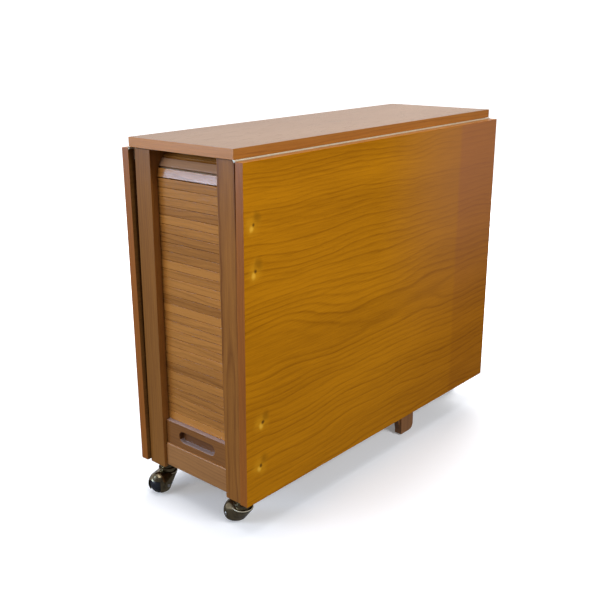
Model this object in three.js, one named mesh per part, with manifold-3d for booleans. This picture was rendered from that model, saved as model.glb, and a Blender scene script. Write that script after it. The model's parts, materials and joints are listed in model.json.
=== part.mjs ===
// A drop leaf table on ball casters, with a tambour door in one end and storage inside.
// Millimetres. +X runs along the top away from the door, -Y is the near side, +Z is up,
// and the origin is on the floor under the middle of the table. Both leaves hang at rest.
import * as THREE from 'three';
import { mergeVertices } from 'three/addons/utils/BufferGeometryUtils.js';
import { ConvexGeometry } from 'three/addons/geometries/ConvexGeometry.js';
import Module from 'manifold-3d';

const wasm = await Module();
wasm.setup();

// Driving dimensions.
const TABLE_HEIGHT = 748;
const TOP_LENGTH = 876;
const TOP_WIDTH = 284;
const BOARD = 19;                 // thickness of the fixed top and of both leaves
const LEAF_DROP = 660;
const LEAF_TILT = 0.76;           // degrees that a hanging leaf leans in at its foot
const HINGE_OUT = 0.9;            // hinge axis beyond the side of the top
const HINGE_DOWN = 2.4;           // hinge axis below the underside of the top
const POST_FACE = 430;            // outer end face of the corner posts, from the middle
const POST_DEPTH = 40;
const POST_INNER = 91;            // |y| of the posts' inner and outer faces
const POST_OUTER = 135;
const POST_FOOT = 62;
const PANEL_INNER = 98;           // |y| of the side panels' inner and outer faces
const PANEL_OUTER = 110;
const SLAT_THICKNESS = 8;
const SLAT_COUNT = 28;            // slats standing upright behind the posts
const LEAD_SLATS = 2;             // the lowest of them, which lift with the handle rail
const BEND_SLATS = 4;
const TAIL_SLATS = 3;
const CASTER_OFFSET = 25;         // ball centre from the swivel axis
const BALL_RADIUS = 21;
const HOOD_RADIUS = 24.6;
const GAP = 0.3;                  // clearance between pieces that touch

const UNDERSIDE = TABLE_HEIGHT - BOARD;
const TOP_SIDE = TOP_WIDTH / 2;
const TOP_END = TOP_LENGTH / 2;
const POST_TOP = UNDERSIDE - 2.5;
const POST_BACK = POST_FACE - POST_DEPTH;
const BETWEEN_POSTS = POST_INNER - GAP;

const wood = (color) => new THREE.MeshStandardMaterial({ color, roughness: 0.45, metalness: 0 });
const metal = (color, roughness) => new THREE.MeshStandardMaterial({ color, roughness, metalness: 1 });
const TEAK_VENEER = wood(0xa5681c);
const TEAK_SOLID = wood(0x8f6236);
const TEAK_SLATS = wood(0xa87638);
const INNER_PLY = wood(0x7a5530);
const HINGE_BRASS = metal(0xd8c690, 0.35);
const CASTER_BRONZE = metal(0x5a5038, 0.3);
const STEEL = metal(0x9a9a98, 0.35);
const BLACK_BALL = new THREE.MeshStandardMaterial({ color: 0x15161a, roughness: 0.3, metalness: 0 });

const table = new THREE.Group();

function add(name, geometry, material, parent = table) {
  const mesh = new THREE.Mesh(geometry, material);
  mesh.name = name;
  parent.add(mesh);
  return mesh;
}

// A square-edged board between two opposite corners.
function board([x0, x1], [y0, y1], [z0, z1]) {
  const geometry = new THREE.BoxGeometry(x1 - x0, y1 - y0, z1 - z0);
  return geometry.translate((x0 + x1) / 2, (y0 + y1) / 2, (z0 + z1) / 2);
}

// The span from a to b, taken on the side of the table that the sign gives.
const onSide = (sign, a, b) => (sign > 0 ? [a, b] : [-b, -a]);

// An outline drawn in X and Z, pushed out along Y from y0 to y1.
function prism(shape, [y0, y1]) {
  const geometry = new THREE.ExtrudeGeometry(shape, { depth: y1 - y0, bevelEnabled: false, curveSegments: 10 });
  return geometry.rotateX(Math.PI / 2).translate(0, y1, 0);
}

function rod(radius, length, sides = 24) {
  return new THREE.CylinderGeometry(radius, radius, length, sides);
}
const rodAlongX = (radius, [x0, x1], y, z, sides) =>
  rod(radius, x1 - x0, sides).rotateZ(Math.PI / 2).translate((x0 + x1) / 2, y, z);
const rodAlongZ = (radius, x, y, [z0, z1], sides) =>
  rod(radius, z1 - z0, sides).rotateX(Math.PI / 2).translate(x, y, (z0 + z1) / 2);

function toManifold(geometry) {
  const bare = geometry.clone();
  bare.deleteAttribute('normal');
  bare.deleteAttribute('uv');
  const welded = mergeVertices(bare, 1e-3);
  return new wasm.Manifold(new wasm.Mesh({
    numProp: 3,
    vertProperties: Float32Array.from(welded.attributes.position.array),
    triVerts: Uint32Array.from(welded.index.array),
  }));
}

function toGeometry(manifold) {
  const mesh = manifold.getMesh();
  const geometry = new THREE.BufferGeometry();
  geometry.setAttribute('position', new THREE.BufferAttribute(mesh.vertProperties, 3));
  geometry.setIndex(new THREE.BufferAttribute(mesh.triVerts, 1));
  return geometry;
}

const joined = (...pieces) => toGeometry(pieces.map(toManifold).reduce((whole, piece) => whole.add(piece)));
const cut = (piece, ...tools) =>
  toGeometry(tools.map(toManifold).reduce((rest, tool) => rest.subtract(tool), toManifold(piece)));

// --- Fixed top -------------------------------------------------------------------------

add('fixed_top', board([-TOP_END, TOP_END], [-TOP_SIDE, TOP_SIDE], [UNDERSIDE, TABLE_HEIGHT]), TEAK_VENEER);

// --- Tambour path ----------------------------------------------------------------------
// The slats are glued to canvas. They stand upright, bend back over the curved ends of the
// tracks and run level under the top. These radii are all about the centre of the bend.

const SLAT_FRONT = -POST_FACE + 18;
const CANVAS_FRONT = SLAT_FRONT + SLAT_THICKNESS;
const CANVAS = 1;
const SLAT_HALF_LENGTH = PANEL_INNER - 1.5;
const DOOR_FOOT = 117.8;
const HANDLE_RAIL_TOP = 168.5;
const BEND_FOOT = 671;
const SLAT_PITCH = (BEND_FOOT - HANDLE_RAIL_TOP - GAP) / SLAT_COUNT;
const SLAT_SEAM = 0.9;
const BEND_STEP = Math.PI / 2 / BEND_SLATS;
const CANVAS_RADIUS = SLAT_PITCH / BEND_STEP;
const BEND_X = CANVAS_FRONT + CANVAS_RADIUS;
const TAIL_END = BEND_X + TAIL_SLATS * SLAT_PITCH;

// The slot that the slat ends slide in, cut into the posts: upright, then round the bend.
function slotOutline() {
  const inner = CANVAS_RADIUS - CANVAS - 1;
  const outer = CANVAS_RADIUS + SLAT_THICKNESS + 1.2;
  const slot = new THREE.Shape();
  slot.moveTo(BEND_X - inner, DOOR_FOOT - 0.5);
  slot.lineTo(BEND_X - inner, BEND_FOOT);
  slot.absarc(BEND_X, BEND_FOOT, inner, Math.PI, Math.PI / 2, true);
  slot.lineTo(BEND_X, BEND_FOOT + outer);
  slot.absarc(BEND_X, BEND_FOOT, outer, Math.PI / 2, Math.PI, false);
  slot.lineTo(BEND_X - outer, DOOR_FOOT - 0.5);
  return slot;
}

// --- Corner posts ----------------------------------------------------------------------

const CASTER_X = 406;
const FRONT_CASTER_Y = 112;
const BACK_CASTER_Y = 57;
const SOCKET_RADIUS = 5.5;
const SOCKET_TOP = POST_FOOT + 30;
const SOCKET_BORE = SOCKET_RADIUS + 0.4;

for (const [side, sign] of [['near', -1], ['far', 1]]) {
  const across = onSide(sign, POST_INNER, POST_OUTER);
  const slot = prism(slotOutline(), [-SLAT_HALF_LENGTH - 0.8, SLAT_HALF_LENGTH + 0.8]);
  const bore = rodAlongZ(SOCKET_BORE, -CASTER_X, sign * FRONT_CASTER_Y, [POST_FOOT - 5, SOCKET_TOP + 1]);
  const front = board([-POST_FACE, -POST_BACK], across, [POST_FOOT, POST_TOP]);
  add(`post_front_${side}`, cut(front, slot, bore), TEAK_SOLID);
  add(`post_back_${side}`, board([POST_BACK, POST_FACE], across, [POST_FOOT, POST_TOP]), TEAK_SOLID);
}

// --- Carcase between the posts ---------------------------------------------------------

const PLINTH_FOOT = 67;
const PLINTH_TOP = DOOR_FOOT - GAP;
const PLINTH_FRONT = -POST_FACE + 6;
const PLINTH_BACK = PLINTH_FRONT + 24;
const BEARER = [386, 424];        // back rail, thick enough to carry the back casters
const FLOOR = [80, 92];
const PANEL_END = POST_BACK - GAP;

for (const [side, sign] of [['near', -1], ['far', 1]]) {
  const across = onSide(sign, PANEL_INNER, PANEL_OUTER);
  add(`side_panel_${side}`, board([-PANEL_END, PANEL_END], across, [PLINTH_FOOT, UNDERSIDE - GAP]), TEAK_VENEER);
}
const acrossPosts = [-BETWEEN_POSTS, BETWEEN_POSTS];
add('front_plinth_rail', board([PLINTH_FRONT, PLINTH_BACK], acrossPosts, [PLINTH_FOOT, PLINTH_TOP]), TEAK_SOLID);
const bearer = board(BEARER, acrossPosts, [POST_FOOT, PLINTH_TOP]);
const bearerBores = [-1, 1].map((sign) =>
  rodAlongZ(SOCKET_BORE, CASTER_X, sign * BACK_CASTER_Y, [POST_FOOT - 5, SOCKET_TOP + 1]));
add('back_plinth_rail', cut(bearer, ...bearerBores), TEAK_SOLID);
add('end_panel', board([404, 416], acrossPosts, [PLINTH_TOP + GAP, UNDERSIDE - GAP]), TEAK_VENEER);

// The floor board is notched round the front posts and stops at the back rail.
const floorMiddle = board([PLINTH_BACK + GAP, BEARER[0] - GAP], acrossPosts, FLOOR);
const floorSides = board([-PANEL_END, BEARER[0] - GAP], [-PANEL_INNER + GAP, PANEL_INNER - GAP], FLOOR);
add('floor_board', joined(floorMiddle, floorSides), INNER_PLY);
add('top_cross_rail',
  board([-330, -300], [-PANEL_INNER + GAP, PANEL_INNER - GAP], [664, 690 - GAP]), INNER_PLY);

// --- Tambour door ----------------------------------------------------------------------

// Upright slats, numbered from the handle rail: flat, with a narrow seam between them, on one
// canvas back.
function uprightOutline(first, last) {
  const slatFoot = (i) => HANDLE_RAIL_TOP + GAP + i * SLAT_PITCH;
  const head = slatFoot(last) - GAP;
  const outline = new THREE.Shape();
  outline.moveTo(CANVAS_FRONT + CANVAS, head);
  outline.lineTo(CANVAS_FRONT + CANVAS, slatFoot(first));
  for (let i = first; i < last; i += 1) {
    outline.lineTo(CANVAS_FRONT, slatFoot(i));
    outline.lineTo(SLAT_FRONT, slatFoot(i) + SLAT_SEAM / 2);
    outline.lineTo(SLAT_FRONT, slatFoot(i + 1) - SLAT_SEAM / 2);
  }
  outline.lineTo(CANVAS_FRONT, head);
  return outline;
}
const slatSpan = [-SLAT_HALF_LENGTH, SLAT_HALF_LENGTH];
add('tambour_lead_slats', prism(uprightOutline(0, LEAD_SLATS), slatSpan), TEAK_SLATS);
add('tambour_curtain', prism(uprightOutline(LEAD_SLATS, SLAT_COUNT), slatSpan), TEAK_SLATS);

// Slats on the bend and the level tail. Each stays flat, so the seams open at the front.
function bendOutline() {
  const halfWidth = (SLAT_PITCH - SLAT_SEAM) / 2;
  const outline = new THREE.Shape();
  outline.moveTo(BEND_X - CANVAS_RADIUS + CANVAS, BEND_FOOT);
  outline.lineTo(BEND_X - CANVAS_RADIUS, BEND_FOOT);
  for (let i = 0; i < BEND_SLATS; i += 1) {
    const angle = Math.PI - (i + 0.5) * BEND_STEP;
    const out = new THREE.Vector2(Math.cos(angle), Math.sin(angle));
    const along = new THREE.Vector2(out.y, -out.x);
    for (const step of [-1, 1]) {
      const heights = step < 0 ? [0.6, SLAT_THICKNESS] : [SLAT_THICKNESS, 0.6];
      for (const height of heights) {
        const x = BEND_X + out.x * (CANVAS_RADIUS + height) + along.x * step * halfWidth;
        const z = BEND_FOOT + out.y * (CANVAS_RADIUS + height) + along.y * step * halfWidth;
        outline.lineTo(x, z);
      }
    }
  }
  for (let i = 0; i < TAIL_SLATS; i += 1) {
    const start = BEND_X + i * SLAT_PITCH;
    outline.lineTo(start + SLAT_SEAM / 2, BEND_FOOT + CANVAS_RADIUS);
    outline.lineTo(start + SLAT_SEAM / 2, BEND_FOOT + CANVAS_RADIUS + SLAT_THICKNESS);
    outline.lineTo(start + SLAT_PITCH - SLAT_SEAM / 2, BEND_FOOT + CANVAS_RADIUS + SLAT_THICKNESS);
    outline.lineTo(start + SLAT_PITCH - SLAT_SEAM / 2, BEND_FOOT + CANVAS_RADIUS);
  }
  outline.lineTo(TAIL_END, BEND_FOOT + CANVAS_RADIUS);
  outline.lineTo(TAIL_END, BEND_FOOT + CANVAS_RADIUS - CANVAS);
  outline.lineTo(BEND_X, BEND_FOOT + CANVAS_RADIUS - CANVAS);
  outline.absarc(BEND_X, BEND_FOOT, CANVAS_RADIUS - CANVAS, Math.PI / 2, Math.PI, false);
  return outline;
}
add('tambour_bend', prism(bendOutline(), slatSpan), TEAK_SLATS);

// Tracks that the slat ends ride over, screwed inside the side panels.
const TRACK_INNER = 86;
const TRACK_END = 140;
const TRACK_FOOT = 690;
function trackOutline() {
  const radius = CANVAS_RADIUS - CANVAS - 0.5;
  const reach = BEND_X + PANEL_END;
  const outline = new THREE.Shape();
  outline.moveTo(-PANEL_END, BEND_FOOT);
  outline.lineTo(-PANEL_END + 18, BEND_FOOT);
  outline.lineTo(-PANEL_END + 40, TRACK_FOOT);
  outline.lineTo(TRACK_END, TRACK_FOOT);
  outline.lineTo(TRACK_END, BEND_FOOT + radius);
  outline.lineTo(BEND_X, BEND_FOOT + radius);
  outline.absarc(BEND_X, BEND_FOOT, radius, Math.PI / 2, Math.PI - Math.acos(reach / radius), false);
  return outline;
}
for (const [side, sign] of [['near', -1], ['far', 1]]) {
  add(`tambour_track_${side}`, prism(trackOutline(), onSide(sign, TRACK_INNER, PANEL_INNER - GAP)), INNER_PLY);
}

// The handle rail at the foot of the door, with tongues in the slots and a finger recess.
const HANDLE_FRONT = -POST_FACE + 9;
const HANDLE_BACK = CANVAS_FRONT + 2;
const RECESS_LENGTH = 104;
const RECESS_HEIGHT = 23;
const RECESS_DEPTH = 11;
const RECESS_Z = 142.5;
const handleHeights = [DOOR_FOOT, HANDLE_RAIL_TOP];
const handleBody = board([HANDLE_FRONT, HANDLE_BACK], [-BETWEEN_POSTS + 0.7, BETWEEN_POSTS - 0.7], handleHeights);
const handleTongues = board([SLAT_FRONT, CANVAS_FRONT], slatSpan, handleHeights);
const recessEnd = (RECESS_LENGTH - RECESS_HEIGHT) / 2;
const recessX = [HANDLE_FRONT - 5, HANDLE_FRONT + RECESS_DEPTH];
const recess = joined(
  board(recessX, [-recessEnd, recessEnd], [RECESS_Z - RECESS_HEIGHT / 2, RECESS_Z + RECESS_HEIGHT / 2]),
  ...[-1, 1].map((sign) => rodAlongX(RECESS_HEIGHT / 2, recessX, sign * recessEnd, RECESS_Z)),
);
add('handle_rail', cut(joined(handleBody, handleTongues), recess), TEAK_SOLID);

// --- Drop leaves and their piano hinges ------------------------------------------------
// Each leaf hangs in a group on its hinge axis, so the group's turn is the leaf's angle.

const AXIS_Y = TOP_SIDE + HINGE_OUT;
const AXIS_Z = UNDERSIDE - HINGE_DOWN;
const LEAF_IN = HINGE_DOWN;       // leaf's inner face, outwards from the axis
const KNUCKLE_RADIUS = 2.1;
const KNUCKLE_BORE = 1.3;
const HINGE_PIN_RADIUS = 0.95;
const KNUCKLE_COUNT = 12;
const KNUCKLE_PITCH = TOP_LENGTH / KNUCKLE_COUNT;
const PLATE = 1.1;
const PLATE_WIDTH = 24;

// One half of a piano hinge about an axis at the origin, its plate hanging just outside the
// axis: every second knuckle, each joined to the plate by a tab.
function hingeHalf() {
  const plateY = KNUCKLE_RADIUS - PLATE;
  const strip = board([-TOP_END, TOP_END], [plateY, plateY + PLATE], [-PLATE_WIDTH, -KNUCKLE_RADIUS - 0.4]);
  const pieces = [strip];
  for (let i = 0; i < KNUCKLE_COUNT; i += 2) {
    const span = [-TOP_END + i * KNUCKLE_PITCH + 0.2, -TOP_END + (i + 1) * KNUCKLE_PITCH - 0.2];
    pieces.push(board(span, [plateY, plateY + PLATE], [-KNUCKLE_RADIUS - 1, 0]));
    pieces.push(rodAlongX(KNUCKLE_RADIUS, span, 0, 0, 10));
  }
  const bore = rodAlongX(KNUCKLE_BORE, [-TOP_END - 1, TOP_END + 1], 0, 0, 10);
  return cut(joined(...pieces), bore);
}

for (const [side, sign] of [['near', -1], ['far', 1]]) {
  const turn = sign > 0 ? 0 : Math.PI;
  const axis = new THREE.Group();
  axis.position.set(0, sign * AXIS_Y, AXIS_Z);
  table.add(axis);

  // The fixed half lies under the top, turned end for end so that the knuckles interlock.
  const fixedHalf = hingeHalf().rotateX(Math.PI / 2).rotateZ(Math.PI + turn);
  add(`hinge_fixed_${side}`, fixedHalf, HINGE_BRASS, axis);
  add(`hinge_pin_${side}`, rodAlongX(HINGE_PIN_RADIUS, [-TOP_END + 1, TOP_END - 1], 0, 0, 12), STEEL, axis);

  const leaf = new THREE.Group();
  leaf.rotation.z = turn;
  leaf.rotation.x = (sign > 0 ? -1 : 1) * THREE.MathUtils.degToRad(LEAF_TILT);
  axis.add(leaf);
  add(`leaf_${side}`, board([-TOP_END, TOP_END], [LEAF_IN, LEAF_IN + BOARD], [-0.1 - LEAF_DROP, -0.1]),
    TEAK_VENEER, leaf);
  add(`hinge_moving_${side}`, hingeHalf(), HINGE_BRASS, leaf);
}

// --- Gate legs -------------------------------------------------------------------------
// One gate folds into each side, hung on butt hinges from an upright batten. The far gate is
// the near one turned half way round the table.

const GATE_IN = PANEL_OUTER + 1;
const GATE_OUT = GATE_IN + BOARD;
const RAIL_OUT = GATE_IN + 14;
const BATTEN = [-262, -238];
const STILE = [-236.5, -198.5];
const LEG = [114, 163];
const LEG_FOOT = 4;
const GATE_TOP = 704;
const LOWER_RAIL = [72, 117];
const UPPER_RAIL = [655, 700];

function legOutline() {
  const toe = 15;
  const outline = new THREE.Shape();
  outline.moveTo(LEG[0], LEG_FOOT);
  outline.lineTo(LEG[1] - toe, LEG_FOOT);
  outline.absarc(LEG[1] - toe, LEG_FOOT + toe, toe, -Math.PI / 2, 0, false);
  outline.lineTo(LEG[1], GATE_TOP);
  outline.lineTo(LEG[0], GATE_TOP);
  return outline;
}

// The lower rail deepens into a curved haunch where it meets the leg.
function lowerRailOutline() {
  const start = STILE[1] + GAP;
  const end = LEG[0] - GAP;
  const haunch = 55;
  const outline = new THREE.Shape();
  outline.moveTo(start, LOWER_RAIL[0]);
  outline.lineTo(end - haunch, LOWER_RAIL[0]);
  outline.quadraticCurveTo(end - 8, LOWER_RAIL[0] - 6, end, LOWER_RAIL[0] - haunch);
  outline.lineTo(end, LOWER_RAIL[1]);
  outline.lineTo(start, LOWER_RAIL[1]);
  return outline;
}

function buttHinge(z) {
  const half = 25;
  const face = -GATE_OUT - GAP;
  const plate = board([BATTEN[0] + 3, STILE[1] - 17], [face - 1.2, face], [z - half, z + half]);
  const barrel = rodAlongZ(2.6, (BATTEN[1] + STILE[0]) / 2, face - 1.4, [z - half, z + half], 12);
  return joined(plate, cut(barrel, board([-300, 0], [face, face + 10], [z - half - 1, z + half + 1])));
}

for (const [side, turn] of [['near', 0], ['far', Math.PI]]) {
  const gate = new THREE.Group();
  gate.rotation.z = turn;
  table.add(gate);
  const full = [-GATE_OUT, -GATE_IN];
  const thin = [-RAIL_OUT, -GATE_IN];
  add(`gate_batten_${side}`, board(BATTEN, [-GATE_OUT, -PANEL_OUTER - GAP], [90, 690]), TEAK_SOLID, gate);
  add(`gate_stile_${side}`, board(STILE, full, [LOWER_RAIL[0], GATE_TOP]), TEAK_SOLID, gate);
  add(`gate_leg_${side}`, prism(legOutline(), full), TEAK_SOLID, gate);
  add(`gate_lower_rail_${side}`, prism(lowerRailOutline(), thin), TEAK_SOLID, gate);
  add(`gate_upper_rail_${side}`, board([STILE[1] + GAP, LEG[0] - GAP], thin, UPPER_RAIL), TEAK_SOLID, gate);
  add(`gate_hinge_lower_${side}`, buttHinge(170), HINGE_BRASS, gate);
  add(`gate_hinge_upper_${side}`, buttHinge(600), HINGE_BRASS, gate);
}

// --- Hooded ball casters ---------------------------------------------------------------
// Built about the swivel axis with the ball trailing along +X, then turned to its heading.

const RIM_RADIUS = 20;            // raised rim round the hood's shoulder, about the swivel axis
const RIM = [36, 40];
const NECK_RADIUS = 16.5;
const NECK_TOP = BALL_RADIUS + HOOD_RADIUS;
const RACE_RADIUS = 18.5;         // fixed plate that the neck turns under
const RACE = [NECK_TOP + 0.4, NECK_TOP + 3.9];
const DRUM_RADIUS = 15;
const HOOD_SHELL = 1.6;
const HOOD_FOOT = 8;
const MOUTH_TOP = 33;
const MOUTH_HALF_ANGLE = THREE.MathUtils.degToRad(45);
const STEM_RADIUS = 4;
const AXLE_RADIUS = 3;

function hood() {
  const ball = new THREE.SphereGeometry(HOOD_RADIUS, 20, 12).rotateX(Math.PI / 2);
  ball.translate(CASTER_OFFSET, 0, BALL_RADIUS);
  const points = [];
  for (let i = 0; i < ball.attributes.position.count; i += 1) {
    points.push(new THREE.Vector3().fromBufferAttribute(ball.attributes.position, i));
  }
  for (let i = 0; i < 20; i += 1) {
    const angle = (i * Math.PI) / 10;
    for (const z of RIM) {
      points.push(new THREE.Vector3(RIM_RADIUS * Math.cos(angle), RIM_RADIUS * Math.sin(angle), z));
    }
  }
  const cavity = new THREE.SphereGeometry(HOOD_RADIUS - HOOD_SHELL, 20, 12).rotateX(Math.PI / 2);
  cavity.translate(CASTER_OFFSET, 0, BALL_RADIUS);
  const mouth = new THREE.Shape();
  mouth.moveTo(CASTER_OFFSET, 0);
  const reach = 45;
  const wide = reach * Math.tan(MOUTH_HALF_ANGLE);
  mouth.lineTo(CASTER_OFFSET + reach, -wide);
  mouth.lineTo(CASTER_OFFSET + reach, wide);
  const mouthCut = new THREE.ExtrudeGeometry(mouth, { depth: MOUTH_TOP + 20, bevelEnabled: false });
  mouthCut.translate(0, 0, -20);
  const neck = rodAlongZ(NECK_RADIUS, 0, 0, [RIM[1] - 1, NECK_TOP], 20);
  const below = board([-60, 90], [-60, 60], [-20, HOOD_FOOT]);
  const stemBore = rodAlongZ(STEM_RADIUS + 0.3, 0, 0, [RIM[0] - 1, NECK_TOP + 5]);
  const axleBore = rod(AXLE_RADIUS + 0.3, 80).translate(CASTER_OFFSET, 0, BALL_RADIUS);
  return cut(joined(new ConvexGeometry(points), neck), cavity, mouthCut, below, stemBore, axleBore);
}

function ballWheel() {
  const bore = AXLE_RADIUS + 0.5;
  const end = Math.sqrt(BALL_RADIUS ** 2 - bore ** 2);
  const profile = [new THREE.Vector2(bore, -end)];
  const steps = 12;
  const startAngle = Math.atan2(-end, bore);
  for (let i = 1; i < steps; i += 1) {
    const angle = startAngle * (1 - (2 * i) / steps);
    profile.push(new THREE.Vector2(BALL_RADIUS * Math.cos(angle), BALL_RADIUS * Math.sin(angle)));
  }
  profile.push(new THREE.Vector2(bore, end), new THREE.Vector2(bore, -end));
  return new THREE.LatheGeometry(profile, 24).translate(CASTER_OFFSET, 0, BALL_RADIUS);
}

// A pressed socket: race plate, drum up to the wood, and a sleeve up the bore.
function socket() {
  const under = POST_FOOT - GAP;
  const race = rodAlongZ(RACE_RADIUS, 0, 0, RACE, 20);
  const drum = rodAlongZ(DRUM_RADIUS, 0, 0, [RACE[1] - 0.5, under], 16);
  const sleeve = rodAlongZ(SOCKET_RADIUS, 0, 0, [under - 1, SOCKET_TOP], 16);
  return cut(joined(race, drum, sleeve), rodAlongZ(STEM_RADIUS + 0.4, 0, 0, [RACE[0] - 5, SOCKET_TOP + 5], 16));
}

const CASTERS = [
  ['front_near', -CASTER_X, -FRONT_CASTER_Y, 80],
  ['front_far', -CASTER_X, FRONT_CASTER_Y, 187],
  ['back_near', CASTER_X, -BACK_CASTER_Y, 7],
  ['back_far', CASTER_X, BACK_CASTER_Y, -7],
];
for (const [corner, x, y, heading] of CASTERS) {
  const caster = new THREE.Group();
  caster.position.set(x, y, 0);
  caster.rotation.z = THREE.MathUtils.degToRad(heading);
  table.add(caster);
  add(`caster_socket_${corner}`, socket(), STEEL, caster);
  add(`caster_hood_${corner}`, hood(), CASTER_BRONZE, caster);
  add(`caster_stem_${corner}`, rodAlongZ(STEM_RADIUS, 0, 0, [RIM[0], SOCKET_TOP - 4]), STEEL, caster);
  add(`caster_axle_${corner}`, rod(AXLE_RADIUS, 2 * HOOD_RADIUS - 2).translate(CASTER_OFFSET, 0, BALL_RADIUS), STEEL, caster);
  add(`caster_ball_${corner}`, ballWheel(), BLACK_BALL, caster);
}

export default table;
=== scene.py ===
import json
import math

import bmesh
import bpy
from mathutils import Matrix, Vector


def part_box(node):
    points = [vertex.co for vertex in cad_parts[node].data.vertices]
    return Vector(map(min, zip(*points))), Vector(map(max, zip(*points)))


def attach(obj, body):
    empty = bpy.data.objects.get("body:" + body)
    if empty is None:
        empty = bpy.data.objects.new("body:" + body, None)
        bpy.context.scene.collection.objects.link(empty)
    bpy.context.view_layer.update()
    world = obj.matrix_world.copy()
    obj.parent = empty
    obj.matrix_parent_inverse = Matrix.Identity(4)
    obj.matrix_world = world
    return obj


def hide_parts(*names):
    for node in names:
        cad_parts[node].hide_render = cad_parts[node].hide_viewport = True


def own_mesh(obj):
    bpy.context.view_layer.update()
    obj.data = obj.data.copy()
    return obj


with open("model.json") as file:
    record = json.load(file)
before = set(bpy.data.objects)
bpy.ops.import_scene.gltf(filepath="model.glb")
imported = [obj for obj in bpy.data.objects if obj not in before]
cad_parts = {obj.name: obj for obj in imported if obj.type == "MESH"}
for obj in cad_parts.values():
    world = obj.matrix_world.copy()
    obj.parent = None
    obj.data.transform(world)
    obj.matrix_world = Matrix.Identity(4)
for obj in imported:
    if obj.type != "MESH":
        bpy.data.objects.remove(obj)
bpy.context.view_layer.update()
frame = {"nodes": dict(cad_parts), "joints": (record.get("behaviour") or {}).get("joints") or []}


# --- Camera, floor and light -----------------------------------------------------------
# The table stands on a white studio floor. A pale backdrop behind it shines in the top, a
# dim room lies behind the camera, and large soft lights hang round it.

turn, tilt, lean = math.radians(-47.73), math.radians(14.99), math.radians(-0.70)
back = Vector((math.sin(turn) * math.cos(tilt), -math.cos(turn) * math.cos(tilt), math.sin(tilt)))
level = (-back).cross(Vector((0, 0, 1))).normalized()
upright = level.cross(-back)
camera_x = level * math.cos(lean) + upright * math.sin(lean)
camera_y = upright * math.cos(lean) - level * math.sin(lean)
camera = bpy.data.objects.new("camera", bpy.data.cameras.new("camera"))
bpy.context.scene.collection.objects.link(camera)
camera.matrix_world = (
    Matrix.Translation((-1.4866, -1.1985, 0.9515))
    @ Matrix((camera_x, camera_y, back)).transposed().to_4x4()
)
camera.data.sensor_width = 36
camera.data.lens = 52.38
camera.data.shift_x = 0.0346
camera.data.shift_y = -0.0689
bpy.context.scene.camera = camera
bpy.context.scene.view_settings.view_transform = "Standard"


class Mix:
    """The node recipe of a material or of the sky: each method adds a node and returns its output."""

    def __init__(self, tree):
        self.tree = tree
        self.tree.nodes.clear()

    def add(self, kind, out=0, settings=None, **inputs):
        made = self.tree.nodes.new("ShaderNode" + kind)
        for name, value in (settings or {}).items():
            setattr(made, name, value)
        for name, value in inputs.items():
            self.fill(made.inputs[name.replace("_", " ")], value)
        return made.outputs[out]

    def fill(self, socket, value):
        if isinstance(value, bpy.types.NodeSocket):
            self.tree.links.new(value, socket)
        else:
            socket.default_value = value

    def sum(self, operation, *values, clamp=False):
        made = self.tree.nodes.new("ShaderNodeMath")
        made.operation = operation
        made.use_clamp = clamp
        for socket, value in zip(made.inputs, values):
            self.fill(socket, value)
        return made.outputs[0]

    def between(self, value, low, high):
        """0 below low and 1 above high, easing from one to the other."""
        settings = {"interpolation_type": "SMOOTHSTEP"}
        return self.add("MapRange", settings=settings, Value=value, From_Min=low, From_Max=high)

    def reach(self, one, two):
        """The distance made by two offsets at right angles."""
        squares = [self.sum("MULTIPLY", offset, offset) for offset in (one, two)]
        return self.sum("SQRT", self.sum("ADD", *squares))

    def blend(self, share, first, second, how="MIX"):
        made = self.tree.nodes.new("ShaderNodeMix")
        made.data_type = "RGBA"
        made.blend_type = how
        self.fill(made.inputs[0], share)
        self.fill(made.inputs[6], first)
        self.fill(made.inputs[7], second)
        return made.outputs[2]

    def vector(self, x, y, z):
        return self.add("CombineXYZ", X=x, Y=y, Z=z)

    def noise(self, place, scale, detail=2.0, out=0):
        return self.add("TexNoise", out=out, Vector=place, Scale=scale, Detail=detail)

    def ramp(self, value, *stops):
        made = self.tree.nodes.new("ShaderNodeValToRGB")
        points = made.color_ramp.elements
        while len(points) < len(stops):
            points.new(0.5)
        for point, (position, shade) in zip(points, stops):
            point.position = position
            point.color = (shade, shade, shade, 1) if isinstance(shade, float) else shade
        self.fill(made.inputs[0], value)
        return made.outputs[0]

    def finish(self, kind, surface):
        end = self.tree.nodes.new("ShaderNodeOutput" + kind)
        self.tree.links.new(surface, end.inputs["Surface"])


world = bpy.data.worlds.new("studio")
world.use_nodes = True
bpy.context.scene.world = world
sky = Mix(world.node_tree)
heading = sky.add("SeparateXYZ", out=0, Vector=sky.add("TexCoord", out=0)).node
behind = sky.between(heading.outputs[1], -0.1, 0.5)
above_floor = sky.between(heading.outputs[2], -0.04, 0.02)
low_band = sky.between(heading.outputs[2], 0.5, 0.1)
backdrop = sky.sum("MULTIPLY", behind, sky.sum("MULTIPLY_ADD", low_band, 0.35, 0.35))
glow = sky.sum("MULTIPLY_ADD", sky.sum("MULTIPLY", backdrop, above_floor), 1.0, 0.14)
room = sky.add("Background", Color=(0.97, 0.96, 1.0, 1), Strength=glow)
white = sky.add("Background", Color=(1, 1, 1, 1), Strength=1.1)
seen = sky.add("LightPath", out=0)
studio = sky.tree.nodes.new("ShaderNodeMixShader")
sky.fill(studio.inputs[0], seen)
sky.fill(studio.inputs[1], room)
sky.fill(studio.inputs[2], white)
sky.finish("World", studio.outputs[0])


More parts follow.
